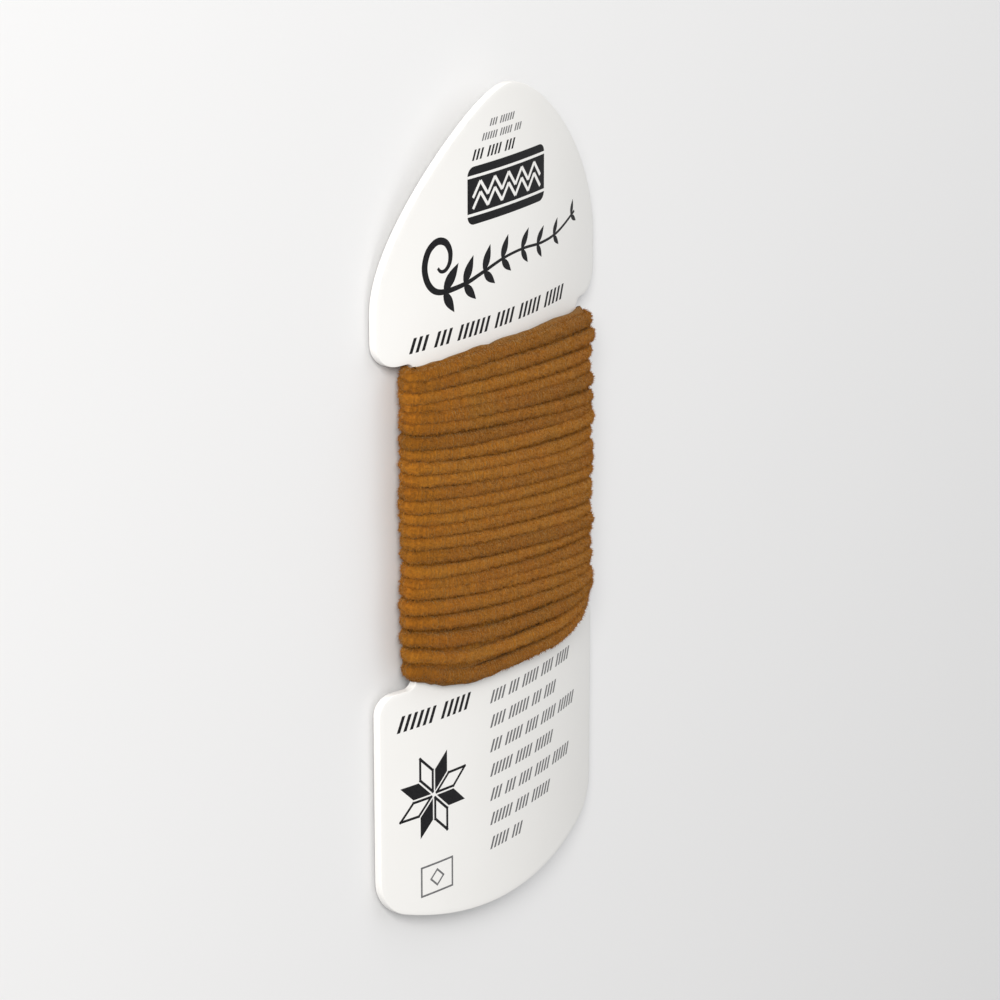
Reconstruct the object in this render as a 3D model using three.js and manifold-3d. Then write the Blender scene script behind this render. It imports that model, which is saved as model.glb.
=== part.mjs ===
// A die-cut board card, bowed across its width, wound at its waist with a bulky soft thread.
// Units are millimetres. X runs across the card, Y along it with the pointed head at +Y, Z up.
// The card lies on the flat underside of its winding.
import * as THREE from 'three';
import { mergeVertices } from 'three/addons/utils/BufferGeometryUtils.js';
import Module from 'manifold-3d';

// Driving sizes of the board
const CARD_LENGTH = 131;
const CARD_WIDTH = 55;
const HEAD_LENGTH = 38.5;
const BASE_LENGTH = 41;
const WAIST_WIDTH = 41;
const BOARD_THICKNESS = 1.2;
const BOW_RADIUS = 100;

// Driving sizes of the board's outline
const HEAD_SHOULDER_HEIGHT = 8.5;
const HEAD_TIP_HANDLE = 8.5;
const HEAD_SHOULDER_HANDLE = 12.5;
const NECK_CORNER_RADIUS = 4;
const WAIST_FILLET_RADIUS = 1.5;
const BASE_CORNER_RADIUS = 3;
const END_CORNER_RADIUS = 7;
const END_ARC_RADIUS = 65;

// Driving sizes of the winding
const WINDING_WIDTH = 47;
const WINDING_HEIGHT = 9;
const SIDE_HEIGHT = 3.9;
const UNDERSIDE_OVERSHOOT = 1.06;
const TURNS = 24;
const GROOVE_DEPTH = 0.75;
const TURN_SLANT = -2.4;
const END_TAPER_LENGTH = 4;
const END_TAPER_SHARE = 0.3;
const SIDE_TAPER_SHARE = 0.25;
const SWELL_SHARE = 0.03;
const CLEARANCE = 0.3;

// Exponents of the winding's section: the smaller, the squarer its corners
const CROWN_SQUARENESS = 0.9;
const UNDERSIDE_SQUARENESS = 0.33;

// How finely the curved shapes are cut into facets
const BOW_STEPS = 18;
const OUTLINE_STEPS = 14;
const SECTION_POINTS = 32;

// Heights and places that follow from the driving sizes
const BOARD_MIDDLE_HEIGHT = 5;
const NECK_Y = CARD_LENGTH / 2 - HEAD_LENGTH;
const BASE_Y = -CARD_LENGTH / 2 + BASE_LENGTH;
const CUT_MARGIN = 5;

const wasm = await Module();
wasm.setup();

// Turns a closed geometry into a solid that can be cut and joined.
function toSolid(geometry) {
  const bare = geometry.clone();
  bare.deleteAttribute('normal');
  bare.deleteAttribute('uv');
  const merged = mergeVertices(bare);
  return new wasm.Manifold(new wasm.Mesh({
    numProp: 3,
    vertProperties: new Float32Array(merged.attributes.position.array),
    triVerts: new Uint32Array(merged.index.array),
  }));
}

// Turns a solid back into a geometry.
function toGeometry(solid) {
  const mesh = solid.getMesh();
  const geometry = new THREE.BufferGeometry();
  geometry.setAttribute('position', new THREE.BufferAttribute(mesh.vertProperties, 3));
  geometry.setIndex(new THREE.BufferAttribute(mesh.triVerts, 1));
  geometry.computeVertexNormals();
  return geometry;
}

// Height of a surface that follows the bow at distance x from the card's middle line.
function bowHeight(x, offset) {
  const radius = BOW_RADIUS + offset;
  const centre = BOARD_MIDDLE_HEIGHT - BOW_RADIUS;
  return centre + Math.sqrt(radius * radius - x * x);
}

// A slab bent to the bow, running along Y.
function bowedSlab(width, thickness, fromY, toY) {
  const section = new THREE.Shape();
  const half = width / 2;
  section.moveTo(-half, bowHeight(-half, thickness / 2));
  for (let step = 1; step <= BOW_STEPS; step += 1) {
    const x = -half + (width * step) / BOW_STEPS;
    section.lineTo(x, bowHeight(x, thickness / 2));
  }
  for (let step = BOW_STEPS; step >= 0; step -= 1) {
    const x = -half + (width * step) / BOW_STEPS;
    section.lineTo(x, bowHeight(x, -thickness / 2));
  }
  section.closePath();
  const geometry = new THREE.ExtrudeGeometry(section, { depth: toY - fromY, bevelEnabled: false });
  geometry.rotateX(Math.PI / 2);
  geometry.translate(0, toY, 0);
  return geometry;
}

// The right half of the board's outline, from the head's tip to the middle of the base's end.
function halfOutline() {
  const halfWidth = CARD_WIDTH / 2;
  const tipY = CARD_LENGTH / 2;
  const shoulderY = NECK_Y + HEAD_SHOULDER_HEIGHT;
  const waistCentreX = WAIST_WIDTH / 2 + WAIST_FILLET_RADIUS;
  const endArcY = -tipY + END_ARC_RADIUS;
  const cornerX = halfWidth - END_CORNER_RADIUS;
  const cornerY = endArcY - Math.sqrt((END_ARC_RADIUS - END_CORNER_RADIUS) ** 2 - cornerX ** 2);
  const cornerAngle = Math.atan2(cornerY - endArcY, cornerX);
  const quarter = Math.PI / 2;

  const path = new THREE.Path();
  path.moveTo(0, tipY);
  path.bezierCurveTo(HEAD_TIP_HANDLE, tipY, halfWidth, shoulderY + HEAD_SHOULDER_HANDLE, halfWidth, shoulderY);
  path.absarc(halfWidth - NECK_CORNER_RADIUS, NECK_Y + NECK_CORNER_RADIUS, NECK_CORNER_RADIUS, 0, -quarter, true);
  path.absarc(waistCentreX, NECK_Y - WAIST_FILLET_RADIUS, WAIST_FILLET_RADIUS, quarter, 2 * quarter, false);
  path.absarc(waistCentreX, BASE_Y + WAIST_FILLET_RADIUS, WAIST_FILLET_RADIUS, 2 * quarter, 3 * quarter, false);
  path.absarc(halfWidth - BASE_CORNER_RADIUS, BASE_Y - BASE_CORNER_RADIUS, BASE_CORNER_RADIUS, quarter, 0, true);
  path.absarc(cornerX, cornerY, END_CORNER_RADIUS, 0, cornerAngle, true);
  path.absarc(0, endArcY, END_ARC_RADIUS, cornerAngle, -quarter, true);
  return path.getPoints(OUTLINE_STEPS);
}

// The board's whole outline as an upright prism, taller than the bow.
function outlinePrism() {
  const right = halfOutline();
  const left = right.slice(1, -1).reverse().map((point) => new THREE.Vector2(-point.x, point.y));
  const outline = new THREE.Shape([...right, ...left]);
  const depth = WINDING_HEIGHT + 2 * CUT_MARGIN;
  const geometry = new THREE.ExtrudeGeometry(outline, { depth, bevelEnabled: false });
  geometry.translate(0, 0, -CUT_MARGIN);
  return geometry;
}

// The die-cut board: head, waist and base in one bowed sheet.
function makeCard() {
  const reach = CARD_LENGTH / 2 + CUT_MARGIN;
  const sheet = toSolid(bowedSlab(CARD_WIDTH + CUT_MARGIN, BOARD_THICKNESS, -reach, reach));
  const card = sheet.intersect(toSolid(outlinePrism()));
  const material = new THREE.MeshStandardMaterial({ color: 0xf2f0ed, roughness: 0.5, metalness: 0 });
  const mesh = new THREE.Mesh(toGeometry(card), material);
  mesh.name = 'card';
  return mesh;
}

// How full the winding is at a place along Y: 1 in the middle, less at its two rounded ends.
function fullness(y, fromY, toY) {
  const edge = Math.max(0, Math.min(y - fromY, toY - y)) / END_TAPER_LENGTH;
  const rounding = edge >= 1 ? 0 : 1 - Math.sqrt(1 - (1 - edge) ** 2);
  const swell = SWELL_SHARE * Math.sin(0.31 * y + 0.8) * Math.sin(0.17 * y + 2.1);
  return 1 - END_TAPER_SHARE * rounding + swell;
}

// The stations along one turn, as shares of the pitch, with the share of the groove cut there.
const TURN_STATIONS = [
  { along: 0, groove: 1 },
  { along: 0.2, groove: 0.3 },
  { along: 0.5, groove: 0 },
  { along: 0.8, groove: 0.3 },
];

// Where each turn starts: uneven, because the thread is wound by hand.
function turnStart(turn, fromY, toY) {
  const share = turn / TURNS;
  const drift = 0.010 * Math.sin(2.3 * turn) + 0.007 * Math.sin(5.1 * turn + 1);
  const hold = Math.sin(Math.PI * share);
  return fromY + (toY - fromY) * (share + drift * hold);
}

// One ring of points around the winding, at a place along Y. The turns lie square to the card at
// both ends of the winding and slant in between.
function windingRing(y, groove, fromY, toY) {
  const full = fullness(y, fromY, toY);
  const slanting = TURN_SLANT * Math.sin((Math.PI * (y - fromY)) / (toY - fromY));
  const halfWidth = WINDING_WIDTH / 2;
  const crown = WINDING_HEIGHT - SIDE_HEIGHT;
  const ring = [];
  for (let index = 0; index < SECTION_POINTS; index += 1) {
    const angle = (2 * Math.PI * index) / SECTION_POINTS;
    const across = Math.cos(angle);
    const up = Math.sin(angle);
    const squareness = up >= 0 ? CROWN_SQUARENESS : UNDERSIDE_SQUARENESS;
    const reach = halfWidth * (1 - SIDE_TAPER_SHARE * (1 - full));
    const x = Math.sign(across) * (reach - groove * GROOVE_DEPTH) * Math.abs(across) ** squareness;
    const rise = up >= 0
      ? (crown * full - groove * GROOVE_DEPTH) * up
      : SIDE_HEIGHT * UNDERSIDE_OVERSHOOT * full * up;
    const z = Math.max(0, SIDE_HEIGHT + rise);
    ring.push(new THREE.Vector3(x, y + (slanting * x) / halfWidth, z));
  }
  return ring;
}

// Joins rings of points into one closed skin with a cap at each end.
function loft(rings) {
  const positions = [];
  const triangles = [];
  rings.forEach((ring) => ring.forEach((point) => positions.push(point.x, point.y, point.z)));
  const count = SECTION_POINTS;
  for (let row = 0; row < rings.length - 1; row += 1) {
    for (let column = 0; column < count; column += 1) {
      const next = (column + 1) % count;
      const a = row * count + column;
      const b = row * count + next;
      const c = (row + 1) * count + next;
      const d = (row + 1) * count + column;
      triangles.push(a, d, b, b, d, c);
    }
  }
  addCap(positions, triangles, rings[0], 0, true);
  addCap(positions, triangles, rings[rings.length - 1], (rings.length - 1) * count, false);
  const geometry = new THREE.BufferGeometry();
  geometry.setAttribute('position', new THREE.Float32BufferAttribute(positions, 3));
  geometry.setIndex(triangles);
  return geometry;
}

// Closes one end of the skin with a fan of triangles around the ring's middle.
function addCap(positions, triangles, ring, firstIndex, facesBack) {
  const middle = new THREE.Vector3();
  ring.forEach((point) => middle.addScaledVector(point, 1 / ring.length));
  const centre = positions.length / 3;
  positions.push(middle.x, middle.y, middle.z);
  for (let column = 0; column < ring.length; column += 1) {
    const here = firstIndex + column;
    const next = firstIndex + ((column + 1) % ring.length);
    if (facesBack) triangles.push(centre, here, next);
    else triangles.push(centre, next, here);
  }
}

// The room that the board's waist and its four inner corner fillets need inside the winding.
function waistSlot() {
  const thickness = BOARD_THICKNESS + 2 * CLEARANCE;
  const waistWidth = WAIST_WIDTH + 2 * CLEARANCE;
  const filletRoom = WAIST_FILLET_RADIUS + CLEARANCE;
  const endWidth = WAIST_WIDTH + 2 * filletRoom;
  const waist = bowedSlab(waistWidth, thickness, BASE_Y - CUT_MARGIN, NECK_Y + CUT_MARGIN);
  const neckEnd = bowedSlab(endWidth, thickness, NECK_Y - filletRoom, NECK_Y + CUT_MARGIN);
  const baseEnd = bowedSlab(endWidth, thickness, BASE_Y - CUT_MARGIN, BASE_Y + filletRoom);
  return toSolid(waist).add(toSolid(neckEnd)).add(toSolid(baseEnd));
}

// The thread's wound form: a flat-bottomed loaf with a groove between each two turns.
function makeWinding() {
  const fromY = BASE_Y + CLEARANCE;
  const toY = NECK_Y - CLEARANCE;
  const rings = [];
  for (let turn = 0; turn < TURNS; turn += 1) {
    const start = turnStart(turn, fromY, toY);
    const pitch = turnStart(turn + 1, fromY, toY) - start;
    TURN_STATIONS.forEach(({ along, groove }) => {
      const y = start + pitch * along;
      rings.push(windingRing(y, groove, fromY, toY));
    });
  }
  rings.push(windingRing(toY, 1, fromY, toY));
  const winding = toSolid(loft(rings)).subtract(waistSlot());
  const material = new THREE.MeshStandardMaterial({ color: 0xa0661c, roughness: 0.95, metalness: 0 });
  const mesh = new THREE.Mesh(toGeometry(winding), material);
  mesh.name = 'winding';
  return mesh;
}

const part = new THREE.Group();
part.name = 'wound_thread_card';
part.add(makeCard());
part.add(makeWinding());

export default part;
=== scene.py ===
"""Dresses a die-cut card of needlepoint thread: coated board, generic print and velvety turns.

Everything is in metres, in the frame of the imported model: X runs across the card, Y along it with
the pointed head at +Y, and Z up out of the card's printed front.
"""

import logging
import math
from collections.abc import Iterator
from contextlib import contextmanager
from dataclasses import dataclass, field
from enum import Enum

import bpy
import numpy as np
from mathutils import Matrix, Vector

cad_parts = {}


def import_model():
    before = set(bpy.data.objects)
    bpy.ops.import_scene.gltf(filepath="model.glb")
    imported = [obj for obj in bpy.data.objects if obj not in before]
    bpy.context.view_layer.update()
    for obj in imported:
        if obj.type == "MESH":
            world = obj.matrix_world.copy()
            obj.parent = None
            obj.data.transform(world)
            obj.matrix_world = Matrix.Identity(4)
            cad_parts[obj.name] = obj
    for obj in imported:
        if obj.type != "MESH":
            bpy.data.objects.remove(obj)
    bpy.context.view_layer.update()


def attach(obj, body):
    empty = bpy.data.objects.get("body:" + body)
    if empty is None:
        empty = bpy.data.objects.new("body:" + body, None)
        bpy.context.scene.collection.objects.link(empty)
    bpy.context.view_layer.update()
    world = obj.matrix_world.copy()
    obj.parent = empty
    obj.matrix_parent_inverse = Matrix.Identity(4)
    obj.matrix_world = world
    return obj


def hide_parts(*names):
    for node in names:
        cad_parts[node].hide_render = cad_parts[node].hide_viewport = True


log = logging.getLogger("thread_card")

MM = 0.001
TINY = 1e-12

# What the points of the pieces carry for their finishes.
RIM = "rim"
# The thread's tone: each strand's own random tone, with painted shade that darkens it toward the grooves
# between turns.
TONE_WITH_SHADE = "tone"
PILE = "pile"

# The faces of a slim spike: its points 0 to 2 are its foot, and 3 is its tip.
SPIKE_FACES = ((0, 2, 1), (0, 1, 3), (1, 2, 3), (2, 0, 3))

Point = tuple[float, float]
Piece = bpy.types.Object
Socket = bpy.types.NodeSocket
Material = bpy.types.Material


def deselect() -> None:
    """Deselects everything."""
    for other in list(bpy.context.selected_objects):
        other.select_set(False)


def activate(piece: Piece) -> None:
    """Makes one piece the only selected and the active object.

    Args:
        piece: the object that the next operators act on.
    """
    deselect()
    bpy.context.view_layer.objects.active = piece
    piece.select_set(True)


def apply_modifier(piece: Piece, kind: str, **settings: object) -> None:
    """Adds one modifier to a piece and applies it.

    Args:
        piece: the object to change.
        kind: Blender's name for the modifier's type.
        settings: the modifier's own properties by name.
    """
    modifier = piece.modifiers.new(kind.title(), kind)
    for name, value in settings.items():
        setattr(modifier, name, value)
    activate(piece)
    bpy.ops.object.modifier_apply(modifier=modifier.name)


@contextmanager
def edit_mode(piece: Piece) -> Iterator[None]:
    """Opens a piece in edit mode with all of it selected, and closes it afterwards.

    Args:
        piece: the object to edit.
    """
    activate(piece)
    bpy.ops.object.mode_set(mode="EDIT")
    bpy.ops.mesh.select_all(action="SELECT")
    yield
    bpy.ops.object.mode_set(mode="OBJECT")


def link_mesh(name: str, spots: list, faces: list) -> Piece:
    """Makes a piece from points and faces, and puts it in the scene.

    Args:
        name: the piece's name.
        spots: its points.
        faces: its faces, each a row of point numbers.

    Returns:
        The new piece.
    """
    mesh = bpy.data.meshes.new(name)
    mesh.from_pydata(spots, [], faces)
    piece = bpy.data.objects.new(name, mesh)
    bpy.context.collection.objects.link(piece)
    return piece


def mark_points(piece: Piece, name: str, values: np.ndarray) -> None:
    """Stores a number or a vector for each point of a piece.

    Args:
        piece: the object that carries them.
        name: the name that the finish reads them by.
        values: a row of numbers, or rows of three.
    """
    kind, key = ("FLOAT", "value") if values.ndim == 1 else ("FLOAT_VECTOR", "vector")
    marks = piece.data.attributes.new(name, kind, "POINT")
    marks.data.foreach_set(key, values.reshape(-1).astype(np.float32))


def unit(vectors: np.ndarray) -> np.ndarray:
    """Gives each row of an array the length 1."""
    return vectors / np.maximum(np.linalg.norm(vectors, axis=1, keepdims=True), TINY)


def cut_into_strips(piece: Piece, axis: int, places: list[float]) -> None:
    """Cuts a piece along planes that are square to one axis, in edit mode.

    Args:
        piece: the object to cut.
        axis: 0 for planes square to X, 1 for planes square to Y.
        places: where each plane stands along that axis.
    """
    normal = tuple(1.0 if index == axis else 0.0 for index in range(3))
    with edit_mode(piece):
        for place in places:
            bpy.ops.mesh.select_all(action="SELECT")
            bpy.ops.mesh.bisect(plane_co=tuple(place * part for part in normal), plane_no=normal)


def spread(first: float, last: float, count: int) -> list[float]:
    """Gives a count of evenly spaced values in rising order, strictly between two ends."""
    return [first + (last - first) * (step + 1) / (count + 1) for step in range(count)]


def smooth_path(knots: list[Point], steps: int) -> list[Point]:
    """Runs a smooth curve through a few points.

    Args:
        knots: the points that the curve passes.
        steps: how many stretches stand between each two of them.

    Returns:
        The points along the curve.
    """
    padded = [knots[0]] + knots + [knots[-1]]
    path = []
    for start in range(len(knots) - 1):
        before, here, there, after = (np.array(padded[start + shift]) for shift in range(4))
        for step in range(steps):
            t = step / steps
            bend = 2 * before - 5 * here + 4 * there - after
            twist = 3 * here - before - 3 * there + after
            spot = here + 0.5 * t * ((there - before) + t * (bend + t * twist))
            path.append((float(spot[0]), float(spot[1])))
    path.append(knots[-1])
    return path


class NodeSheet:
    """A material's node tree, with short ways to add and join its nodes."""

    # The numbers of the mix node's sockets for its first value, its second value and its result.
    MIX_SOCKETS = {"FLOAT": (2, 3, 0), "RGBA": (6, 7, 2)}

    def __init__(self, name: str) -> None:
        """Starts a material with one shader.

        Args:
            name: the material's name.
        """
        self.material = bpy.data.materials.new(name)
        self.material.use_nodes = True
        self.tree = self.material.node_tree
        self.shader = self.tree.nodes["Principled BSDF"]

    def feed(self, socket: Socket, value: object) -> None:
        """Gives an input another node's output, or a constant.

        Args:
            socket: the input.
            value: an output, a number, or a tuple with a colour or a vector.
        """
        if isinstance(value, Socket):
            self.tree.links.new(value, socket)
        elif isinstance(value, tuple):
            socket.default_value = (*value, 1.0)[:len(socket.default_value)]
        else:
            socket.default_value = value

    def add(self, kind: str, **settings: object) -> bpy.types.Node:
        """Adds a node.

        Args:
            kind: Blender's name for the node's type.
            settings: its properties by name, and what to feed its inputs by name.

        Returns:
            The new node.
        """
        node = self.tree.nodes.new(kind)
        for name, value in settings.items():
            if hasattr(node, name):
                setattr(node, name, value)
            else:
                self.feed(node.inputs[name.replace("_", " ")], value)
        return node

    def set(self, **values: object) -> None:
        """Feeds the shader's own inputs by name."""
        for name, value in values.items():
            self.feed(self.shader.inputs[name.replace("_", " ")], value)

    def place(self) -> Socket:
        """Gives the coordinates in the piece's own space, in metres."""
        return self.add("ShaderNodeTexCoord").outputs["Object"]

    def mark(self, name: str, output: str = "Fac") -> Socket:
        """Gives what mark_points stored under a name."""
        return self.add("ShaderNodeAttribute", attribute_name=name).outputs[output]

    def noise(self, source: Socket, scale: float, detail: float) -> Socket:
        """Adds a noise pattern.

        Args:
            source: the coordinates that it reads.
            scale: its scale, in patches a metre for object coordinates.
            detail: how many finer levels it has.

        Returns:
            The output that holds its value, from 0 to 1.
        """
        node = self.add("ShaderNodeTexNoise", Scale=scale, Detail=detail, Vector=source)
        return node.outputs["Fac"]

    def ramp(self, source: Socket, stops: list[tuple[float, tuple]]) -> Socket:
        """Turns a value into a colour.

        Args:
            source: the value, from 0 to 1.
            stops: places along the ramp with their colours.

        Returns:
            The output that holds the colour.
        """
        node = self.add("ShaderNodeValToRGB", Fac=source)
        elements = node.color_ramp.elements
        while len(elements) < len(stops):
            elements.new(0.5)
        for element, (place, colour) in zip(elements, stops):
            element.position = place
            element.color = (*colour, 1.0)
        return node.outputs["Color"]

    def mix(
        self, share: Socket, first: object, second: object, blend: str = "MIX", kind: str = "RGBA"
    ) -> Socket:
        """Mixes two colours or two numbers.

        Args:
            share: the output that says how much of the second one there is.
            first: an output or a constant.
            second: an output or a constant.
            blend: Blender's name for the way they mix.
            kind: RGBA for colours, FLOAT for numbers.

        Returns:
            The output that holds the mixture.
        """
        node = self.add("ShaderNodeMix", data_type=kind, blend_type=blend, Factor=share)
        low, high, result = self.MIX_SOCKETS[kind]
        self.feed(node.inputs[low], first)
        self.feed(node.inputs[high], second)
        return node.outputs[result]

    def level(self, source: Socket, low: float, high: float) -> Socket:
        """Maps a value from 0 to 1 onto the range from low to high."""
        return self.add("ShaderNodeMapRange", Value=source, To_Min=low, To_Max=high).outputs["Result"]

    def bump(self, height: Socket, strength: float, depth: float) -> None:
        """Raises the surface by a pattern, on top of any bump that it has.

        Args:
            height: the pattern, from 0 to 1.
            strength: how much of it shows.
            depth: the height of its relief in metres.
        """
        node = self.add("ShaderNodeBump", Strength=strength, Distance=depth, Height=height)
        below = self.shader.inputs["Normal"].links
        if below:
            self.feed(node.inputs["Normal"], below[0].from_socket)
        self.set(Normal=node.outputs["Normal"])


@dataclass(frozen=True)
class CoatedBoard:
    """White coated board with a fibrous cut edge. A relief is its strength and its depth."""

    face: tuple = (0.885, 0.878, 0.862)
    face_dim: tuple = (0.835, 0.824, 0.802)
    cut_edge: tuple = (0.89, 0.88, 0.86)
    cloud_scale: float = 45.0
    cloud_detail: float = 3.0
    cloud_relief: tuple = (0.3, 0.0002)
    fibre_scale: float = 2600.0
    fibre_detail: float = 4.0
    fibre_relief: tuple = (0.25, 0.00003)
    roughness: tuple = (0.36, 0.46)
    rim_roughness: float = 0.8

    def material(self) -> Material:
        """Builds the finish.

        Returns:
            Its material.
        """
        sheet = NodeSheet("coated_board")
        place = sheet.place()
        cloud = sheet.noise(place, self.cloud_scale, self.cloud_detail)
        grain = sheet.noise(place, self.fibre_scale, self.fibre_detail)
        rim = sheet.mark(RIM)
        face = sheet.mix(cloud, self.face, self.face_dim)
        fibre = sheet.mix(grain, self.cut_edge, self.face_dim)
        soft = sheet.level(cloud, *self.roughness)
        rough = sheet.mix(rim, soft, self.rim_roughness, kind="FLOAT")
        sheet.set(Base_Color=sheet.mix(rim, face, fibre), Roughness=rough)
        sheet.bump(grain, *self.fibre_relief)
        sheet.bump(cloud, *self.cloud_relief)
        return sheet.material


@dataclass(frozen=True)
class PrintInk:
    """Printing ink, a little uneven, as on coated board."""

    name: str
    tone: tuple
    tone_thin: tuple
    speckle_scale: float = 3800.0
    speckle_detail: float = 3.0
    thin_from: float = 0.35
    thin_to: float = 0.75
    roughness: tuple = (0.36, 0.48)
    gloss: float = 0.25

    def material(self) -> Material:
        """Builds the finish.

        Returns:
            Its material.
        """
        sheet = NodeSheet(self.name)
        speckle = sheet.noise(sheet.place(), self.speckle_scale, self.speckle_detail)
        colour = sheet.ramp(speckle, [(self.thin_from, self.tone), (self.thin_to, self.tone_thin)])
        rough = sheet.level(speckle, *self.roughness)
        sheet.set(Base_Color=colour, Roughness=rough, Specular_IOR_Level=self.gloss)
        return sheet.material


@dataclass(frozen=True)
class VelvetThread:
    """Soft pile thread: matte, with painted shade in its grooves and in the low parts of its pile, and a
    pale bloom where the pile turns.
    """

    name: str = "velvet_thread"
    # The first colour is the thread in shade, painted into its grooves and the low parts of its pile;
    # body is its lit colour, and bright a lighter colour that random patches and the crests of lighter
    # strands reach.
    painted_shade: tuple = (0.080, 0.029, 0.002)
    body: tuple = (0.345, 0.140, 0.012)
    bright: tuple = (0.500, 0.225, 0.026)
    # Where the painted shade, body and bright colours stand along the tone.
    tone_stops: tuple = (0.05, 0.55, 1.0)
    patch_scale: float = 190.0
    patch_detail: float = 3.0
    patch_share: float = 0.55
    tufts: tuple = (3.2, 0.9, 1.0)
    tuft_detail: float = 4.0
    tuft_foot: float = 0.34
    tuft_top: float = 0.66
    # How much painted shade the low parts of the pile get.
    pile_hollow_shade: float = 0.5
    bloom: tuple = (1.0, 0.74, 0.36, 1.0)
    bloom_weight: float = 0.25
    bloom_spread: float = 0.4
    roughness: float = 0.92
    gloss: float = 0.15
    relief_strength: float = 0.8
    relief: float = 0.22 * MM

    def material(self) -> Material:
        """Builds the finish.

        Returns:
            Its material.
        """
        sheet = NodeSheet(self.name)
        patch = sheet.noise(sheet.place(), self.patch_scale, self.patch_detail)
        combed = sheet.add("ShaderNodeMapping", Scale=self.tufts, Vector=sheet.mark(PILE, "Vector"))
        streak = sheet.noise(combed.outputs["Vector"], 1.0, self.tuft_detail)
        pile = sheet.ramp(streak, [(self.tuft_foot, (0.0, 0.0, 0.0)), (self.tuft_top, (1.0, 1.0, 1.0))])
        # The tone picks a colour from the painted shade through the body to the bright colour, so its
        # painted groove shade shows here.
        tones = (self.painted_shade, self.body, self.bright)
        base = sheet.ramp(sheet.mark(TONE_WITH_SHADE), list(zip(self.tone_stops, tones)))
        mottled = sheet.mix(sheet.level(patch, 0.0, self.patch_share), base, self.bright, "SOFT_LIGHT")
        # Painted shade: the low parts of the pile are mixed toward the shade colour.
        pile_shaded = sheet.mix(sheet.level(pile, self.pile_hollow_shade, 0.0), mottled, self.painted_shade)
        sheet.set(Base_Color=pile_shaded, Roughness=self.roughness, Specular_IOR_Level=self.gloss)
        sheet.set(Sheen_Weight=self.bloom_weight, Sheen_Roughness=self.bloom_spread)
        sheet.set(Sheen_Tint=self.bloom)
        sheet.bump(pile, self.relief_strength, self.relief)
        return sheet.material


@dataclass(frozen=True)
class PaleFloor:
    """A plain pale studio floor."""

    tone: tuple = (0.86, 0.86, 0.865)
    tone_dim: tuple = (0.84, 0.84, 0.845)
    cloud_scale: float = 8.0
    cloud_detail: float = 2.0
    roughness: float = 0.75

    def material(self) -> Material:
        """Builds the finish.

        Returns:
            Its material.
        """
        sheet = NodeSheet("pale_floor")
        cloud = sheet.noise(sheet.place(), self.cloud_scale, self.cloud_detail)
        sheet.set(Base_Color=sheet.mix(cloud, self.tone, self.tone_dim), Roughness=self.roughness)
        return sheet.material


@dataclass(frozen=True)
class Bow:
    """The card's bend across its width, convex to its printed front."""

    radius: float = 100 * MM
    middle_height: float = 5 * MM

    def height(self, x: float, offset: float) -> float:
        """Finds the height at x of a surface that lies by an offset outside the board's middle."""
        return self.middle_height - self.radius + math.sqrt((self.radius + offset) ** 2 - x * x)

    def wrap(self, piece: Piece) -> None:
        """Bends a flat piece, whose own heights are offsets from the board's middle."""
        for vertex in piece.data.vertices:
            vertex.co.z = self.height(vertex.co.x, vertex.co.z)


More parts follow.
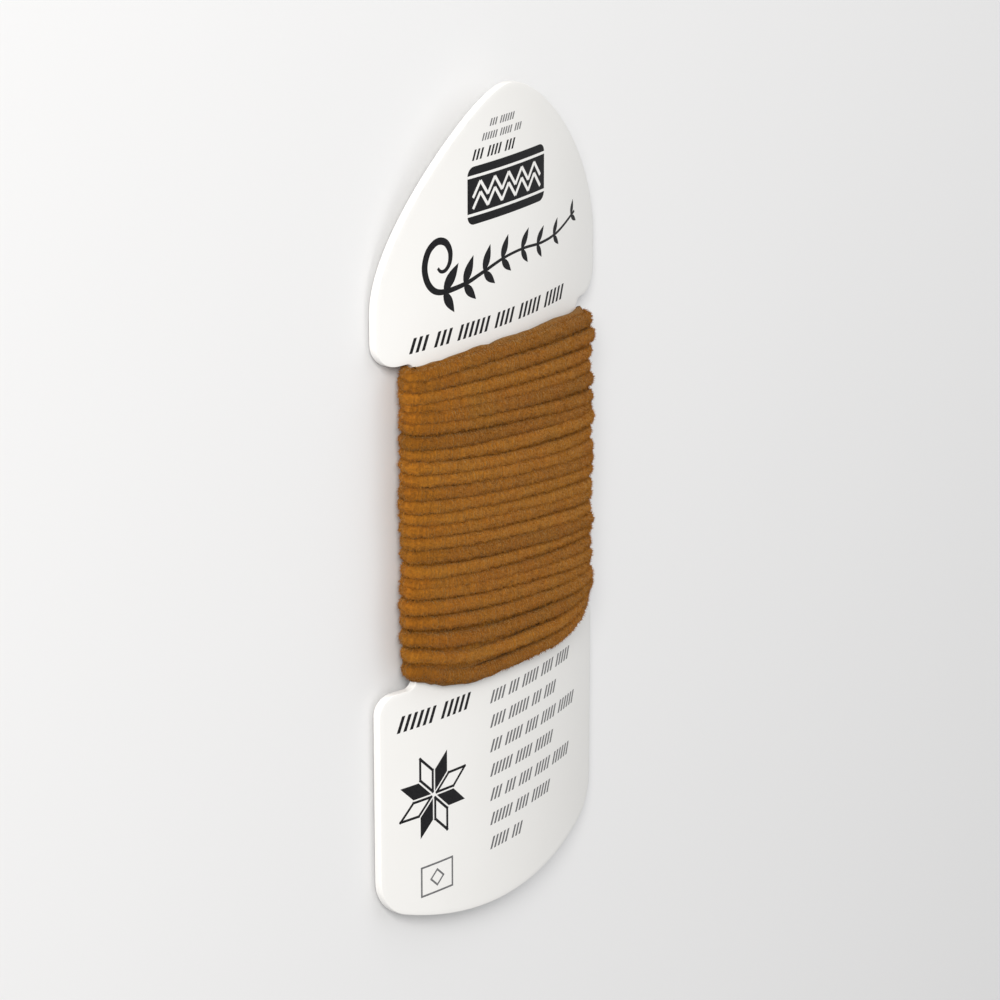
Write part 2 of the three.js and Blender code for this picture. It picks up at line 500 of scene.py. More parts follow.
@dataclass(frozen=True)
class CardOutline:
    """The die-cut outline: a pointed arch head, a narrow waist and a base with a curved end."""

    length: float = 131 * MM
    width: float = 55 * MM
    head_length: float = 38.5 * MM
    base_length: float = 41 * MM
    waist_width: float = 41 * MM
    shoulder_height: float = 8.5 * MM
    tip_handle: float = 8.5 * MM
    shoulder_handle: float = 12.5 * MM
    neck_corner: float = 4 * MM
    waist_fillet: float = 1.5 * MM
    base_corner: float = 3 * MM
    end_corner: float = 7 * MM
    end_arc: float = 65 * MM
    arc_steps: int = 10
    head_steps: int = 34

    @property
    def neck_y(self) -> float:
        """Where the head meets the waist."""
        return self.length / 2 - self.head_length

    @property
    def base_y(self) -> float:
        """Where the base meets the waist."""
        return -self.length / 2 + self.base_length

    def arc(self, centre: Point, radius: float, start: float, end: float) -> list[Point]:
        """Gives points along a round corner.

        Args:
            centre: the corner's centre.
            radius: its radius.
            start: the first angle in degrees.
            end: the last angle in degrees.

        Returns:
            The points, both ends included.
        """
        points = []
        for step in range(self.arc_steps + 1):
            angle = math.radians(start + (end - start) * step / self.arc_steps)
            points.append((centre[0] + radius * math.cos(angle), centre[1] + radius * math.sin(angle)))
        return points

    def head_curve(self) -> list[Point]:
        """Draws the head's right side.

        Returns:
            Points from the head's tip down to its shoulder.
        """
        tip = self.length / 2
        half = self.width / 2
        shoulder = self.neck_y + self.shoulder_height
        shoulder_pull = shoulder + self.shoulder_handle
        control = [(0.0, tip), (self.tip_handle, tip), (half, shoulder_pull), (half, shoulder)]
        curve = []
        for step in range(self.head_steps + 1):
            t = step / self.head_steps
            weights = ((1 - t) ** 3, 3 * (1 - t) ** 2 * t, 3 * (1 - t) * t * t, t ** 3)
            curve.append(tuple(sum(w * c[k] for w, c in zip(weights, control)) for k in range(2)))
        return curve

    def right_half(self) -> list[Point]:
        """Draws the outline's right half.

        Returns:
            Points from the head's tip to the middle of the base's end.
        """
        half = self.width / 2
        fillet_x = self.waist_width / 2 + self.waist_fillet
        arc_y = -self.length / 2 + self.end_arc
        corner_x = half - self.end_corner
        corner_y = arc_y - math.sqrt((self.end_arc - self.end_corner) ** 2 - corner_x ** 2)
        turn = math.degrees(math.atan2(corner_y - arc_y, corner_x))
        points = self.head_curve()
        neck_centre = (half - self.neck_corner, self.neck_y + self.neck_corner)
        base_centre = (half - self.base_corner, self.base_y - self.base_corner)
        points += self.arc(neck_centre, self.neck_corner, 0, -90)
        points += self.arc((fillet_x, self.neck_y - self.waist_fillet), self.waist_fillet, 90, 180)
        points += self.arc((fillet_x, self.base_y + self.waist_fillet), self.waist_fillet, 180, 270)
        points += self.arc(base_centre, self.base_corner, 90, 0)
        points += self.arc((corner_x, corner_y), self.end_corner, 0, turn)
        points += self.arc((0.0, arc_y), self.end_arc, turn, -90)[1:]
        return points

    def whole(self) -> list[Point]:
        """Gives the whole outline as one closed loop, its first point not repeated."""
        right = self.right_half()
        return right + [(-x, y) for x, y in reversed(right[1:-1])]


@dataclass
class DieCutCard:
    """The board: cut to its outline, its edge softened, and bowed."""

    outline: CardOutline
    bow: Bow
    thickness: float = 1.2 * MM
    rim_width: float = 0.8 * MM
    rim_tolerance: float = 0.01 * MM
    edge_softness: float = 0.34 * MM
    edge_steps: int = 3
    bevel_angle: float = 50.0
    smooth_angle: float = 40.0
    strips_across: int = 43
    strips_along: int = 31
    finish: CoatedBoard = field(default_factory=CoatedBoard)

    def flat_sheet(self) -> Piece:
        """Models the flat sheet, with a narrow rim face along its outline.

        Returns:
            The sheet, with no thickness yet.
        """
        points = self.outline.whole()
        bpy.ops.mesh.primitive_circle_add(
            vertices=len(points), radius=self.outline.width / 2, fill_type="NGON"
        )
        sheet = bpy.context.object
        for vertex, (x, y) in zip(sheet.data.vertices, points):
            vertex.co = (x, y, 0.0)
        with edit_mode(sheet):
            bpy.ops.mesh.inset(thickness=self.rim_width, use_even_offset=True)
        half_width = self.outline.width / 2
        half_length = self.outline.length / 2
        cut_into_strips(sheet, 0, spread(-half_width, half_width, self.strips_across))
        cut_into_strips(sheet, 1, spread(-half_length, half_length, self.strips_along))
        return sheet

    def mark_rim(self, board: Piece) -> None:
        """Marks the vertices of the cut edge, for the finish.

        Args:
            board: the board while it is still flat.
        """
        limit = self.thickness / 2 - self.rim_tolerance
        heights = np.array([abs(vertex.co.z) for vertex in board.data.vertices])
        mark_points(board, RIM, heights < limit)

    def build(self) -> Piece:
        """Models and dresses the board.

        Returns:
            The finished piece.
        """
        board = self.flat_sheet()
        board.name = "board"
        apply_modifier(board, "SOLIDIFY", thickness=self.thickness, offset=0.0)
        apply_modifier(
            board,
            "BEVEL",
            width=self.edge_softness,
            segments=self.edge_steps,
            limit_method="ANGLE",
            angle_limit=math.radians(self.bevel_angle),
        )
        self.mark_rim(board)
        self.bow.wrap(board)
        with edit_mode(board):
            bpy.ops.mesh.normals_make_consistent(inside=False)
        bpy.ops.object.shade_smooth_by_angle(angle=math.radians(self.smooth_angle))
        board.data.materials.append(self.finish.material())
        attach(board, "root")
        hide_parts("card")
        log.info("board: %d faces", len(board.data.polygons))
        return board


class Ink(Enum):
    """The inks of the print: name, tone, thin tone, and millimetres that the film stands off."""

    BLACK = ("ink_black", (0.004, 0.004, 0.005), (0.014, 0.014, 0.016), 0.014)
    GREY = ("ink_grey", (0.13, 0.13, 0.135), (0.21, 0.21, 0.215), 0.014)
    WHITE = ("ink_white", (0.885, 0.878, 0.862), (0.82, 0.81, 0.79), 0.026)

    def finish(self) -> PrintInk:
        """Gives the ink's finish."""
        name, tone, thin, _ = self.value
        return PrintInk(name, tone, thin)

    @property
    def lift(self) -> float:
        """How far the film's top stands off the board, in metres."""
        *_, lift = self.value
        return lift * MM


@dataclass
class InkFilm:
    """All marks of one ink: flat shapes laid on the board's front."""

    ink: Ink
    bow: Bow
    surface: float
    strip: float = 2 * MM
    film: float = 0.02 * MM
    shapes: list[list[Point]] = field(default_factory=list)

    def shape(self, points: list[Point]) -> None:
        """Adds one filled shape, turned so that it faces up off the board."""
        turns = sum(ax * by - bx * ay for (ax, ay), (bx, by) in zip(points, points[1:] + points[:1]))
        self.shapes.append(points if turns > 0 else points[::-1])

    def stroke(self, path: list[Point], widths: list[float]) -> None:
        """Adds a line of changing width, as stretches that share their ends.

        Args:
            path: the points along its middle.
            widths: its width at each of them.
        """
        spots = np.array(path)
        ahead = unit(np.gradient(spots, axis=0))
        aside = np.stack([-ahead[:, 1], ahead[:, 0]], axis=1) * (np.array(widths) / 2)[:, None]
        left = spots + aside
        right = spots - aside
        for step in range(len(path) - 1):
            corners = (right[step], right[step + 1], left[step + 1], left[step])
            self.shape([tuple(corner) for corner in corners])

    def line(self, start: Point, end: Point, width: float) -> None:
        """Adds a straight line of even width."""
        self.stroke([start, end], [width, width])

    def frame(self, corners: list[Point], width: float) -> None:
        """Adds a closed line around corners, each side run on by half its width.

        Args:
            corners: the corners in order.
            width: the line's width.
        """
        for start, end in zip(corners, corners[1:] + corners[:1]):
            run = Vector(end) - Vector(start)
            run.normalize()
            on = run * (width / 2)
            self.line(tuple(Vector(start) - on), tuple(Vector(end) + on), width)

    def build(self, name: str) -> Piece:
        """Models and dresses the film.

        Args:
            name: the piece's name.

        Returns:
            The finished piece.
        """
        spots = [(x, y, self.surface + self.ink.lift) for shape in self.shapes for x, y in shape]
        faces = []
        first = 0
        for shape in self.shapes:
            faces.append(tuple(range(first, first + len(shape))))
            first += len(shape)
        piece = link_mesh(name, spots, faces)
        reach = max(abs(spot[0]) for spot in spots)
        cuts = int(2 * reach / self.strip)
        cut_into_strips(piece, 0, spread(-reach, reach, cuts))
        apply_modifier(piece, "SOLIDIFY", thickness=self.film, offset=-1.0)
        self.bow.wrap(piece)
        piece.data.materials.append(self.ink.finish().material())
        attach(piece, "root")
        log.info("%s: %d shapes", name, len(self.shapes))
        return piece


@dataclass(frozen=True)
class StitchRow:
    """One printed row of slanted stitches; its sizes are in millimetres."""

    ink: Ink
    x: float
    rise: float
    length: float
    height: float
    weight: float


@dataclass
class PrintedFront:
    """The print on the card's front: needlework marks that name nobody and spell nothing.

    The stem's points and widths and all sizes of stitch rows are in millimetres, the rest in metres.
    """

    outline: CardOutline
    bow: Bow
    surface: float
    seed: int = 11
    stitch_lean: float = 0.4
    smallest_group: int = 3
    largest_group: int = 6
    band_half_width: float = 9.6 * MM
    band_rise: float = 18.6 * MM
    band_height: float = 8.8 * MM
    band_corner: float = 1.4 * MM
    band_line_inset: float = 1.5 * MM
    band_line_width: float = 0.42 * MM
    zigzag_points: int = 10
    zigzag_inset: float = 1.2 * MM
    zigzag_rise: float = 1.15 * MM
    zigzag_shift: float = 0.85 * MM
    zigzag_width: float = 0.5 * MM
    curl_x: float = -15.2 * MM
    curl_rise: float = 14.4 * MM
    curl_eye: float = 1.2 * MM
    curl_reach: float = 4.7 * MM
    curl_start: float = -130.0
    curl_sweep: float = 400.0
    curl_steps: int = 10
    curl_narrowness: float = 0.82
    stem: tuple = (
        (-10.4, 9.9), (-6.0, 10.9), (-1.0, 12.0), (4.0, 12.3), (9.0, 12.0), (14.0, 12.5), (19.6, 14.4)
    )
    stem_width: float = 0.45
    stem_swell: float = 0.7
    stem_swell_pace: float = 1.25
    stem_swell_power: float = 1.5
    stem_bare_tip: int = 3
    sprig_steps: int = 7
    leaf_pairs: int = 8
    leaf_angle: float = 55.0
    longest_leaf: float = 4.9 * MM
    leaf_shortening: float = 0.34 * MM
    lower_leaf_share: float = 0.85
    leaf_steps: int = 8
    leaf_fullness: float = 0.19
    leaf_belly: float = 0.8
    star_reach: float = 7.8 * MM
    star_x: float = -17.2 * MM
    star_drop: float = 18.4 * MM
    petals: int = 8
    petal_share: float = 0.84
    petal_line: float = 0.42 * MM
    box_x: float = -19.8 * MM
    box_drop: float = 34.8 * MM
    box_width: float = 6.4 * MM
    box_height: float = 4.8 * MM
    box_line: float = 0.32 * MM
    diamond_reach: float = 1.3 * MM
    diamond_line: float = 0.3 * MM
    neck_row: StitchRow = StitchRow(Ink.BLACK, -21.5, 1.5, 43.5, 2.3, 0.6)
    tip_rows: tuple = (
        StitchRow(Ink.BLACK, -8.6, 0.9, 12.5, 1.6, 0.42),
        StitchRow(Ink.GREY, -6.4, 3.5, 13.5, 1.1, 0.3),
        StitchRow(Ink.GREY, -4.6, 5.4, 10.0, 1.1, 0.3),
    )
    base_row: StitchRow = StitchRow(Ink.BLACK, -24.4, -6.4, 20.5, 2.6, 0.62)
    fine_rows_x: float = -4.6
    fine_rows_rise: float = -7.2
    fine_row_lengths: tuple = (27.5, 25.0, 28.0, 23.0, 24.5, 19.5, 13.5)
    fine_row_height: float = 2.0
    fine_row_weight: float = 0.46
    fine_row_pitch: float = 4.1

    def __post_init__(self) -> None:
        """Starts one empty film for each ink."""
        self.films = {ink: InkFilm(ink, self.bow, self.surface) for ink in Ink}
        self.random = np.random.default_rng(self.seed)

    def group(self) -> int:
        """Draws how many stitches the next group has."""
        return int(self.random.integers(self.smallest_group, self.largest_group + 1))

    def stitch_row(self, row: StitchRow, datum: float) -> None:
        """Prints a row of slanted stitches, all alike, in small groups.

        Args:
            row: the row.
            datum: the place along the card that its rise is counted from, in metres.
        """
        film = self.films[row.ink]
        weight = row.weight * MM
        pitch = weight * 2
        lean = row.height * MM * self.stitch_lean
        low = datum + row.rise * MM
        high = low + row.height * MM
        x = row.x * MM
        end = x + row.length * MM
        group = self.group()
        while x + group * pitch + lean < end:
            for _ in range(group):
                film.shape([(x, low), (x + weight, low), (x + weight + lean, high), (x + lean, high)])
                x += pitch
            x += pitch
            group = self.group()

    def band(self) -> None:
        """Prints the black band, with two white lines and a flame-stitch zigzag."""
        low = self.outline.neck_y + self.band_rise
        high = low + self.band_height
        half = self.band_half_width
        corner = self.band_corner
        loop = []
        for centre_x, centre_y, start in (
            (half - corner, low + corner, -90),
            (half - corner, high - corner, 0),
            (-half + corner, high - corner, 90),
            (-half + corner, low + corner, 180),
        ):
            loop += self.outline.arc((centre_x, centre_y), corner, start, start + 90)
        self.films[Ink.BLACK].shape(loop)
        white = self.films[Ink.WHITE]
        for y in (low + self.band_line_inset, high - self.band_line_inset):
            white.line((-half, y), (half, y), self.band_line_width)
        middle = (low + high) / 2
        reach = half - self.zigzag_inset
        for shift in (-self.zigzag_shift, self.zigzag_shift):
            path = []
            for step in range(self.zigzag_points + 1):
                rise = self.zigzag_rise if step % 2 else -self.zigzag_rise
                path.append((-reach + 2 * reach * step / self.zigzag_points, middle + shift + rise))
            for start, end in zip(path, path[1:]):
                white.line(start, end, self.zigzag_width)

    def curl(self) -> list[Point]:
        """Draws the sprig's curl, a narrow spiral.

        Returns:
            Points along it from its eye outwards.
        """
        middle_x = self.curl_x
        middle_y = self.outline.neck_y + self.curl_rise
        points = []
        for step in range(self.curl_steps + 1):
            share = step / self.curl_steps
            angle = math.radians(self.curl_start + self.curl_sweep * share)
            radius = self.curl_eye + (self.curl_reach - self.curl_eye) * share
            across = radius * self.curl_narrowness * math.cos(angle)
            points.append((middle_x + across, middle_y + radius * math.sin(angle)))
        return points

    def sprig(self) -> None:
        """Prints a leafy sprig that starts in a curl and lies across the head."""
        black = self.films[Ink.BLACK]
        floor = self.outline.neck_y
        knots = self.curl() + [(x * MM, floor + y * MM) for x, y in self.stem]
        path = smooth_path(knots, self.sprig_steps)
        count = len(path)
        shares = np.linspace(0.0, 1.0, count)
        swell = np.sin(math.pi * np.clip(shares * self.stem_swell_pace, 0.0, 1.0))
        widths = (self.stem_width + self.stem_swell * swell ** self.stem_swell_power) * MM
        black.stroke(path, list(widths))
        first = count - self.sprig_steps * len(self.stem)
        for pair in range(self.leaf_pairs):
            place = first + int((count - self.stem_bare_tip - first) * pair / (self.leaf_pairs - 1))
            ahead = Vector(path[place + 1]) - Vector(path[place - 1])
            along = math.degrees(math.atan2(ahead.y, ahead.x))
            length = self.longest_leaf - self.leaf_shortening * pair
            self.leaf(path[place], along + self.leaf_angle, length)
            self.leaf(path[place], along - self.leaf_angle, length * self.lower_leaf_share)

    def leaf(self, foot: Point, turn: float, length: float) -> None:
        """Prints one pointed leaf.

        Args:
            foot: where it grows from the stem.
            turn: the direction that it points in, in degrees.
            length: how long it is.
        """
        run = Vector((math.cos(math.radians(turn)), math.sin(math.radians(turn))))
        side = Vector((-run.y, run.x))
        edges = ([], [])
        for step in range(self.leaf_steps + 1):
            share = step / self.leaf_steps
            swell = self.leaf_fullness * length * math.sin(math.pi * share ** self.leaf_belly)
            middle = Vector(foot) + run * length * share
            edges[0].append(tuple(middle + side * swell))
            edges[1].append(tuple(middle - side * swell))
        self.films[Ink.BLACK].shape(edges[1] + edges[0][-2:0:-1])

    def star(self) -> None:
        """Prints the eight-pointed quilt star, its petals filled and open by turns."""
        black = self.films[Ink.BLACK]
        centre = np.array([self.star_x, self.outline.base_y - self.star_drop])
        half = 180 / self.petals
        side = self.star_reach / (2 * math.cos(math.radians(half)))
        for petal in range(self.petals):
            middle = math.radians(2 * half * petal + half)
            corners = [np.array([0.0, 0.0])]
            for turn, reach in ((-half, side), (0.0, self.star_reach), (half, side)):
                angle = middle + math.radians(turn)
                corners.append(np.array([math.cos(angle), math.sin(angle)]) * reach)
            heart = sum(corners) / len(corners)
            shrunk = [tuple(centre + heart + (corner - heart) * self.petal_share) for corner in corners]
            if petal % 2:
                black.shape(shrunk)
            else:
                black.frame(shrunk, self.petal_line)

    def number_box(self) -> None:
        """Prints the small open box under the star, with a diamond in it."""
        grey = self.films[Ink.GREY]
        low = self.outline.base_y - self.box_drop
        high = low + self.box_height
        left = self.box_x
        right = left + self.box_width
        grey.frame([(left, low), (right, low), (right, high), (left, high)], self.box_line)
        x = (left + right) / 2
        y = (low + high) / 2
        reach = self.diamond_reach
        grey.frame([(x + reach, y), (x, y + reach), (x - reach, y), (x, y - reach)], self.diamond_line)

    def base_rows(self) -> None:
        """Prints the base's bold row over the star, and the fine rows beside it."""
        self.stitch_row(self.base_row, self.outline.base_y)
        for number, length in enumerate(self.fine_row_lengths):
            rise = self.fine_rows_rise - self.fine_row_pitch * number
            size = (length, self.fine_row_height, self.fine_row_weight)
            self.stitch_row(StitchRow(Ink.GREY, self.fine_rows_x, rise, *size), self.outline.base_y)

    def build(self) -> list[Piece]:
        """Lays out the whole print and models its films.

        Returns:
            The finished pieces, one for each ink.
        """
        self.stitch_row(self.neck_row, self.outline.neck_y)
        self.band()
        for row in self.tip_rows:
            self.stitch_row(row, self.outline.neck_y + self.band_rise + self.band_height)
        self.sprig()
        self.star()
        self.number_box()
        self.base_rows()
        return [film.build("print_" + ink.name.lower()) for ink, film in self.films.items()]


@dataclass(frozen=True)
class WindingForm:
    """The outer form of the winding: a flat-bottomed loaf around the board's waist."""

    width: float = 47 * MM
    height: float = 9 * MM
    side_height: float = 3.9 * MM
    underside_overshoot: float = 1.06
    crown_squareness: float = 0.9
    underside_squareness: float = 0.33
    end_taper_length: float = 4 * MM
    end_taper_share: float = 0.3
    side_taper_share: float = 0.25
    start_y: float = -24.2 * MM
    end_y: float = 26.7 * MM
    samples: int = 1440
    normal_reach: int = 6

    def section(self) -> tuple[np.ndarray, np.ndarray, np.ndarray]:
        """Measures the section once round, from the right side over the front.

        Returns:
            The points, the outward normals and the share of the way round at each point.
        """
        angle = np.linspace(0.0, 2 * math.pi, self.samples, endpoint=False)
        across = np.cos(angle)
        up = np.sin(angle)
        front = up >= 0
        power = np.where(front, self.crown_squareness, self.underside_squareness)
        x = np.sign(across) * self.width / 2 * np.abs(across) ** power
        crown = self.height - self.side_height
        rise = np.where(front, crown * up, self.side_height * self.underside_overshoot * up)
        z = np.maximum(0.0, self.side_height + rise)
        points = np.stack([x, z], axis=1)
        reach = self.normal_reach
        ahead = unit(np.roll(points, -reach, axis=0) - np.roll(points, reach, axis=0))
        normals = np.stack([ahead[:, 1], -ahead[:, 0]], axis=1)
        steps = np.linalg.norm(np.roll(points, -1, axis=0) - points, axis=1)
        share = np.concatenate([[0.0], np.cumsum(steps)[:-1]]) / steps.sum()
        return points, normals, share

    def fullness(self, y: np.ndarray) -> np.ndarray:
        """Says how full the winding is at places along Y: 1, and less at its rounded ends."""
        edge = np.clip(np.minimum(y - self.start_y, self.end_y - y) / self.end_taper_length, 0.0, 1.0)
        return 1 - self.end_taper_share * (1 - np.sqrt(1 - (1 - edge) ** 2))


@dataclass
class ThreadLayer:
    """One layer of turns, as a single continuous thread. Its sizes are those of the outer layer."""

    name: str
    form: WindingForm
    turns: float = 24.0
    depth: float = 0.5 * MM
    half_width: float = 1.08 * MM
    half_thickness: float = 1.0 * MM
    slant_at_base: float = -2.8 * MM
    slant_at_head: float = -2.4 * MM
    wander: float = 0.5 * MM
    ride_up: float = 0.75 * MM
    steps_a_turn: int = 150
    sides: int = 18
    seed: int = 34
    margin: float = 1.0 * MM
    end_play: float = 0.2 * MM
    start_share: float = 0.74
    front_from: float = 0.8 * MM
    front_fade: float = 1.6 * MM
    crown_from: float = 6.2 * MM
    crown_fade: float = 2.4 * MM
    wander_knots: float = 2.6
    lift_knots: float = 1.7
    tuck_share: float = 0.12
    tuck_depth: float = 1.6 * MM
    calm_share: float = 0.2
    overhang_at_base: float = 3.2 * MM
    base_sag_share: float = 0.2
    base_sag_power: float = 1.5
    overhang_at_head: float = 0.9 * MM
    head_sag_share: float = 0.12
    underside_share: float = 0.1
    swell: float = 0.08
    swell_knots: float = 9.0
    roughness: float = 0.09
    tone_middle: float = 0.5
    tone_spread: float = 0.16
    tone_knots: float = 1.3
    # Painted shade: the tone is scaled by the first share in the grooves, and by both shares together at
    # the crest.
    painted_groove_shade: float = 0.42
    painted_crest_light: float = 0.72

    def wave(self, random: np.random.Generator, count: int, knots: int) -> np.ndarray:
        """Makes a smooth random wave between -1 and 1.

        Args:
            random: the source of chance.
            count: how many values it has.
            knots: how many random heights it runs through.

        Returns:
            The wave's values.
        """
        heights = random.uniform(-1, 1, knots + 3)
        place = np.linspace(0, knots, count)
        whole = np.minimum(place.astype(int), knots - 1)
        part = place - whole
        ease = part * part * (3 - 2 * part)
        return heights[whole] * (1 - ease) + heights[whole + 1] * ease

    def path(self) -> tuple[np.ndarray, np.ndarray]:
        """Runs the thread round the form.

        Returns:
            The points along its middle and the outward normals there.
        """
        random = np.random.default_rng(self.seed)
        count = int(self.turns * self.steps_a_turn)
        turn = np.linspace(0.0, self.turns, count) + self.start_share
        share = turn % 1.0
        points, normals, places = self.form.section()
        index = np.searchsorted(places, share, side="right") - 1
        flat = points[index]
        normal = normals[index]
        on_front = np.clip((flat[:, 1] - self.front_from) / self.front_fade, 0.0, 1.0)
        low = self.form.start_y + self.margin
        high = self.form.end_y - self.margin
        drift = (turn - turn[0]) / self.turns
        calm = np.minimum(1.0, np.minimum(drift, 1 - drift) / self.calm_share)
        crown = np.clip((flat[:, 1] - self.crown_from) / self.crown_fade, 0.0, 1.0)
        slant = self.slant_at_base + (self.slant_at_head - self.slant_at_base) * drift
        y = low + (high - low) * drift
        y = y + self.wander * self.wave(random, count, int(self.turns * self.wander_knots)) * calm
        y = y + slant * flat[:, 0] / (self.form.width / 2) * calm
        y = np.clip(y, low - self.end_play, high + self.end_play)
        full = self.form.fullness(y)
        lift_wave = self.wave(random, count, int(self.turns * self.lift_knots))
        lift = self.ride_up * (0.5 + 0.5 * lift_wave) * on_front
        from_end = np.minimum(np.arange(count), np.arange(count)[::-1])
        tuck = np.minimum(1.0, from_end / (self.tuck_share * self.steps_a_turn))
        sunk = self.depth * (self.underside_share + (1 - self.underside_share) * on_front)
        inward = sunk + self.half_thickness - lift + (1 - tuck) * self.tuck_depth
        x = flat[:, 0] * (1 - self.form.side_taper_share * (1 - full)) - normal[:, 0] * inward
        rise = flat[:, 1] - self.form.side_height
        z = self.form.side_height + rise * np.where(rise > 0, full, 1.0) - normal[:, 1] * inward
        near_base = np.clip(1 - drift / self.base_sag_share, 0.0, 1.0) ** self.base_sag_power
        near_head = np.clip(1 - (1 - drift) / self.head_sag_share, 0.0, 1.0)
        y = y - self.overhang_at_base * crown * near_base
        y = y + self.overhang_at_head * crown * near_head
        middle = np.stack([x, y, z], axis=1)
        outward = np.stack([normal[:, 0], np.zeros(count), normal[:, 1]], axis=1)
        return middle, outward

    def rings(self) -> tuple[np.ndarray, np.ndarray, np.ndarray]:
        """Sweeps the thread's section along its path.

        Returns:
            The points of each ring, the outward direction at each point, and each point's tone with its
            painted groove shade.
        """
        random = np.random.default_rng(self.seed + 1)
        middle, outward = self.path()
        ahead = unit(np.gradient(middle, axis=0))
        outward = unit(outward - ahead * np.sum(outward * ahead, axis=1, keepdims=True))
        aside = np.cross(ahead, outward)
        count = len(middle)
        angle = np.linspace(0.0, 2 * math.pi, self.sides, endpoint=False)
        swell = 1 + self.swell * self.wave(random, count, int(self.turns * self.swell_knots))
        lumps = 1 + self.roughness * random.standard_normal((count, self.sides))
        thick = (self.half_thickness * swell)[:, None] * np.cos(angle)[None, :] * lumps
        wide = (self.half_width * swell)[:, None] * np.sin(angle)[None, :] * lumps
        points = (
            middle[:, None, :]
            + outward[:, None, :] * thick[:, :, None]
            + aside[:, None, :] * wide[:, :, None]
        )
        points[:, :, 2] = np.maximum(points[:, :, 2], 0.0)
        facing = outward[:, None, :] * np.cos(angle)[None, :, None]
        facing = facing + aside[:, None, :] * np.sin(angle)[None, :, None]
        drift = self.wave(random, count, int(self.turns * self.tone_knots))
        strand = self.tone_middle + self.tone_spread * drift
        # Each point's tone is its strand's random tone, with painted shade that makes it darker as its
        # side turns from the crest toward the grooves.
        crest = 0.5 + 0.5 * np.cos(angle)
        tone = np.clip(strand[:, None] * (self.painted_groove_shade + self.painted_crest_light * crest[None, :]), 0.0, 1.0)
        return points, facing, tone

    def pile_places(self, points: np.ndarray) -> np.ndarray:
        """Measures where each point lies on the thread, so that the pile can follow it.

        Args:
            points: the points of each ring.

        Returns:
            Millimetres along the thread and around it for each point, as vectors.
        """
        count, sides, _ = points.shape
        middle = points.mean(axis=1)
        steps = np.linalg.norm(np.diff(middle, axis=0), axis=1)
        along = np.concatenate([[0.0], np.cumsum(steps)]) / MM
        half = np.abs(np.linspace(-1.0, 1.0, sides, endpoint=False)) * math.pi * self.half_width / MM
        place = np.zeros((count, sides, 3))
        place[:, :, 0] = along[:, None]
        place[:, :, 1] = half[None, :]
        return place

    def build(self, finish: Material) -> Piece:
        """Models and dresses the layer.

        Args:
            finish: the thread's material.

        Returns:
            The finished piece.
        """
        points, _, tone = self.rings()
        count, sides, _ = points.shape
        spots = points.reshape(-1, 3)
        row = np.arange(count - 1)[:, None] * sides
        column = np.arange(sides)[None, :]
        following = (column + 1) % sides
        beyond = row + sides
        quads = np.stack([row + column, row + following, beyond + following, beyond + column], axis=-1)
        faces = [tuple(face) for face in quads.reshape(-1, 4).tolist()]
        faces.append(tuple(range(sides - 1, -1, -1)))
        faces.append(tuple(range((count - 1) * sides, count * sides)))
        piece = link_mesh(self.name, spots.tolist(), faces)
        # The tone carries the painted groove shade to the finish.
        mark_points(piece, TONE_WITH_SHADE, tone.reshape(-1))
        mark_points(piece, PILE, self.pile_places(points).reshape(-1, 3))
        activate(piece)
        bpy.ops.object.shade_smooth()
        piece.data.materials.append(finish)
        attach(piece, "root")
        log.info("%s: %.1f turns, %d faces", self.name, self.turns, len(faces))
        return piece


@dataclass
class PileFibres:
    """The soft fibres that stand off the outer turns."""

    name: str
    layer: ThreadLayer
    count: int = 48000
    shortest: float = 0.2 * MM
    longest: float = 0.55 * MM
    root_width: float = 0.085 * MM
    root_depth: float = 0.05 * MM
    any_direction: tuple = (0.31, 0.87, 0.38)
    crest_limit: float = 0.1
    tone_shift: tuple = (-0.2, 0.5)
    tousle: float = 0.6
    lowest: float = 1.6 * MM
    seed: int = 5

    def build(self, finish: Material) -> Piece:
        """Models and dresses the fibres, each a slim closed spike.

        Args:
            finish: the thread's material.

        Returns:
            The finished piece.
        """
        random = np.random.default_rng(self.seed)
        points, facing, tone = self.layer.rings()
        rings, sides, _ = points.shape
        crest = np.cos(np.linspace(0.0, 2 * math.pi, sides, endpoint=False)) > self.crest_limit
        before_last = np.arange(rings) < rings - 1
        high = points[:, :, 2] > self.lowest
        allowed = np.argwhere(crest[None, :] & high & before_last[:, None])
        picked = allowed[random.integers(0, len(allowed), self.count)]
        ring, side = picked[:, 0], picked[:, 1]
        along = random.random((self.count, 1))
        round_it = random.random((self.count, 1))
        beside = (side + 1) % sides
        near = points[ring, side] * (1 - round_it) + points[ring, beside] * round_it
        far = points[ring + 1, side] * (1 - round_it) + points[ring + 1, beside] * round_it
        root = near * (1 - along) + far * along
        lean = unit(facing[ring, side] + self.tousle * random.standard_normal((self.count, 3)))
        length = random.uniform(self.shortest, self.longest, (self.count, 1))
        tip = root + lean * length
        root = root - lean * self.root_depth
        helper = unit(np.cross(lean, np.array(self.any_direction)))
        other = np.cross(lean, helper)
        corners = []
        for turn in range(3):
            angle = 2 * math.pi * turn / 3
            aside = helper * math.cos(angle) + other * math.sin(angle)
            corners.append(root + aside * self.root_width / 2)
        spikes = np.stack([*corners, tip], axis=1)
        first = np.arange(self.count) * spikes.shape[1]
        faces = (first[:, None, None] + np.array(SPIKE_FACES)).reshape(-1, 3)
        piece = link_mesh(self.name, spikes.reshape(-1, 3).tolist(), faces.tolist())
        # Each fibre takes the tone of the thread where it rises, painted groove shade included, shifted
        # at random.
        value = np.clip(tone[ring, side] + random.uniform(*self.tone_shift, self.count), 0.0, 1.0)
        mark_points(piece, TONE_WITH_SHADE, np.repeat(value, spikes.shape[1]))
        piece.data.materials.append(finish)
        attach(piece, "root")
        log.info("%s: %d fibres", self.name, self.count)
        return piece


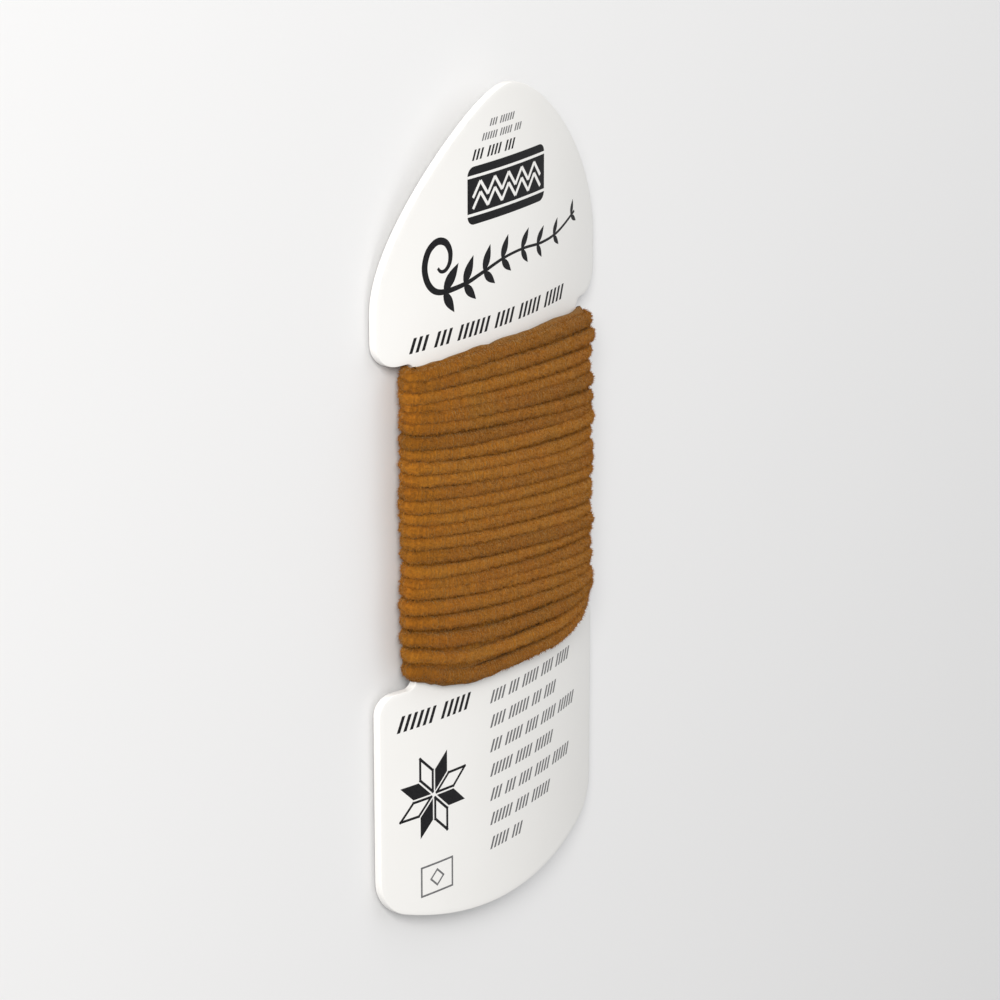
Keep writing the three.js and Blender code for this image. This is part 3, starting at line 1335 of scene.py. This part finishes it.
@dataclass
class WoundThread:
    """The thread on the card: an inner layer that shows in the gaps, the outer turns and their pile."""

    form: WindingForm = field(default_factory=WindingForm)
    finish: VelvetThread = field(default_factory=VelvetThread)
    fibre_pieces: int = 2

    def build(self) -> list[Piece]:
        """Models and dresses the whole winding.

        Returns:
            The finished pieces.
        """
        material = self.finish.material()
        inner = ThreadLayer(
            name="inner_turns",
            form=self.form,
            turns=27.0,
            depth=1.3 * MM,
            half_width=1.3 * MM,
            half_thickness=0.9 * MM,
            slant_at_base=0.3 * MM,
            slant_at_head=0.3 * MM,
            wander=0.15 * MM,
            ride_up=0.1 * MM,
            steps_a_turn=56,
            sides=10,
            seed=21,
            underside_share=1.0,
        )
        outer = ThreadLayer("outer_turns", self.form)
        pieces = [inner.build(material), outer.build(material)]
        for number in range(self.fibre_pieces):
            fibres = PileFibres(f"pile_fibres_{number + 1}", outer, seed=PileFibres.seed + number)
            pieces.append(fibres.build(material))
        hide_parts("winding")
        return pieces


@dataclass(frozen=True)
class SoftLamp:
    """One soft square light: where it hangs, the length of its side, its watts and its colour."""

    name: str
    place: tuple
    size: float
    power: float
    colour: tuple


@dataclass
class Studio:
    """A pale floor, soft light from the left and a camera at the photograph's angle."""

    toward_camera: Vector = field(default_factory=lambda: Vector((-0.76, 0.33, 0.56)))
    target: Vector = field(default_factory=lambda: Vector((0.0, 0.0, 4 * MM)))
    distance: float = 0.62
    lens: float = 146.0
    nearest: float = 0.01
    floor_size: float = 3.0
    floor_cells: int = 12
    floor_drop: float = 0.02 * MM
    room_light: float = 0.42
    lamps: tuple = (
        SoftLamp("key", (-0.8, 0.55, 0.62), 0.45, 12.0, (1.0, 0.985, 0.96)),
        SoftLamp("fill", (0.55, 0.5, 0.7), 0.9, 2.0, (0.96, 0.98, 1.0)),
    )

    def floor(self) -> None:
        """Lays the floor."""
        deselect()
        cells = self.floor_cells
        bpy.ops.mesh.primitive_grid_add(x_subdivisions=cells, y_subdivisions=cells, size=self.floor_size)
        floor = bpy.context.object
        floor.name = "floor"
        for vertex in floor.data.vertices:
            vertex.co.z = -self.floor_drop
        floor.data.materials.append(PaleFloor().material())

    def hang(self, lamp: SoftLamp) -> None:
        """Hangs one light, aimed at the card.

        Args:
            lamp: the light.
        """
        light = bpy.data.lights.new(lamp.name, "AREA")
        light.size = lamp.size
        light.energy = lamp.power
        light.color = lamp.colour
        hung = bpy.data.objects.new(lamp.name, light)
        hung.location = lamp.place
        hung.rotation_euler = (self.target - Vector(lamp.place)).to_track_quat("-Z", "Y").to_euler()
        bpy.context.collection.objects.link(hung)

    def lights(self) -> None:
        """Hangs the lights and sets the pale surroundings."""
        for lamp in self.lamps:
            self.hang(lamp)
        world = bpy.data.worlds.new("pale_room")
        world.use_nodes = True
        background = world.node_tree.nodes["Background"]
        background.inputs["Color"].default_value = (1.0, 1.0, 1.0, 1.0)
        background.inputs["Strength"].default_value = self.room_light
        bpy.context.scene.world = world
        bpy.context.scene.view_settings.view_transform = "Standard"

    def camera(self) -> None:
        """Sets the camera, turned so that the card's head points up in the picture."""
        back = self.toward_camera.normalized()
        along = Vector((0.0, 1.0, 0.0))
        up = (along - back * along.dot(back)).normalized()
        right = up.cross(back)
        lens = bpy.data.cameras.new("camera")
        lens.lens = self.lens
        lens.clip_start = self.nearest
        camera = bpy.data.objects.new("camera", lens)
        turn = Matrix((right, up, back)).transposed().to_4x4()
        camera.matrix_world = Matrix.Translation(self.target + back * self.distance) @ turn
        bpy.context.collection.objects.link(camera)
        bpy.context.scene.camera = camera

    def build(self) -> None:
        """Sets up the whole scene around the card."""
        self.camera()
        self.floor()
        self.lights()


def main() -> None:
    """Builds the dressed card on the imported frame."""
    logging.basicConfig(level=logging.INFO, format="%(name)s %(message)s")
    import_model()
    Studio().build()
    outline = CardOutline()
    bow = Bow()
    card = DieCutCard(outline, bow)
    card.build()
    PrintedFront(outline, bow, card.thickness / 2).build()
    WoundThread().build()


if __name__ == "__main__":
    main()
